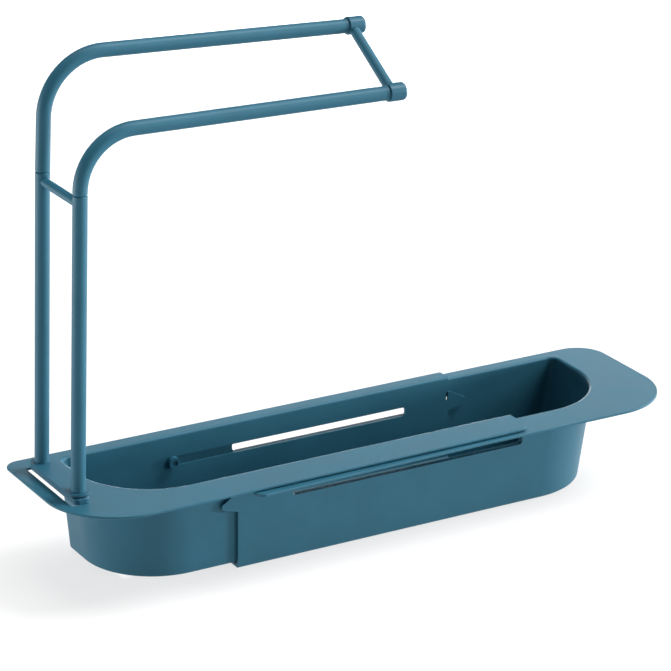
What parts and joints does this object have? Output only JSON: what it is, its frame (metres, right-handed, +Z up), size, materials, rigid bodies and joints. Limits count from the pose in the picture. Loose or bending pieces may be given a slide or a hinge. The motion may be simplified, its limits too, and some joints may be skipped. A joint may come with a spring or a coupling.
{
  "type": "telescopic sink caddy with towel rack",
  "caption": "Telescopic plastic caddy that hangs across a sink: two nested trays with flat lips, and a leaning two-rail towel rack hooked into the end lip.",
  "frame": {"origin": "under the middle of the closed caddy's bounding box, on the plane of the right tray's underside", "axes": "+X along the tray towards the half that slides out, +Y from the wide front rim to the narrow back rim, +Z up"},
  "size_m": [0.416, 0.1141, 0.3134],
  "materials": {
    "tray_plastic": "satin moulded",
    "tube_plastic": "satin extruded tube",
    "fitting_plastic": "satin moulded"
  },
  "bodies": {
    "left_half": {"left_tray": "tray_plastic"},
    "right_half": {"right_tray": "tray_plastic", "rear_stop_pin": "fitting_plastic", "front_stop_pin": "fitting_plastic"},
    "rack": {"rack_foot": "fitting_plastic", "rear_post": "tube_plastic", "front_post": "tube_plastic", "post_crossbar": "tube_plastic", "rear_rail": "tube_plastic", "front_rail": "tube_plastic", "rear_end_cap": "fitting_plastic", "front_end_cap": "fitting_plastic", "end_bar": "tube_plastic"}
  },
  "joints": [
    {"name": "tray_extend", "type": "slide", "parent": "left_half", "child": "right_half", "axis": [1, 0, 0], "range_m": [0, 0.155]},
    {"name": "rack_release", "type": "slide", "parent": "left_half", "child": "rack", "axis": [-1, 0, 0], "range_m": [0, 0.0023]}
  ]
}
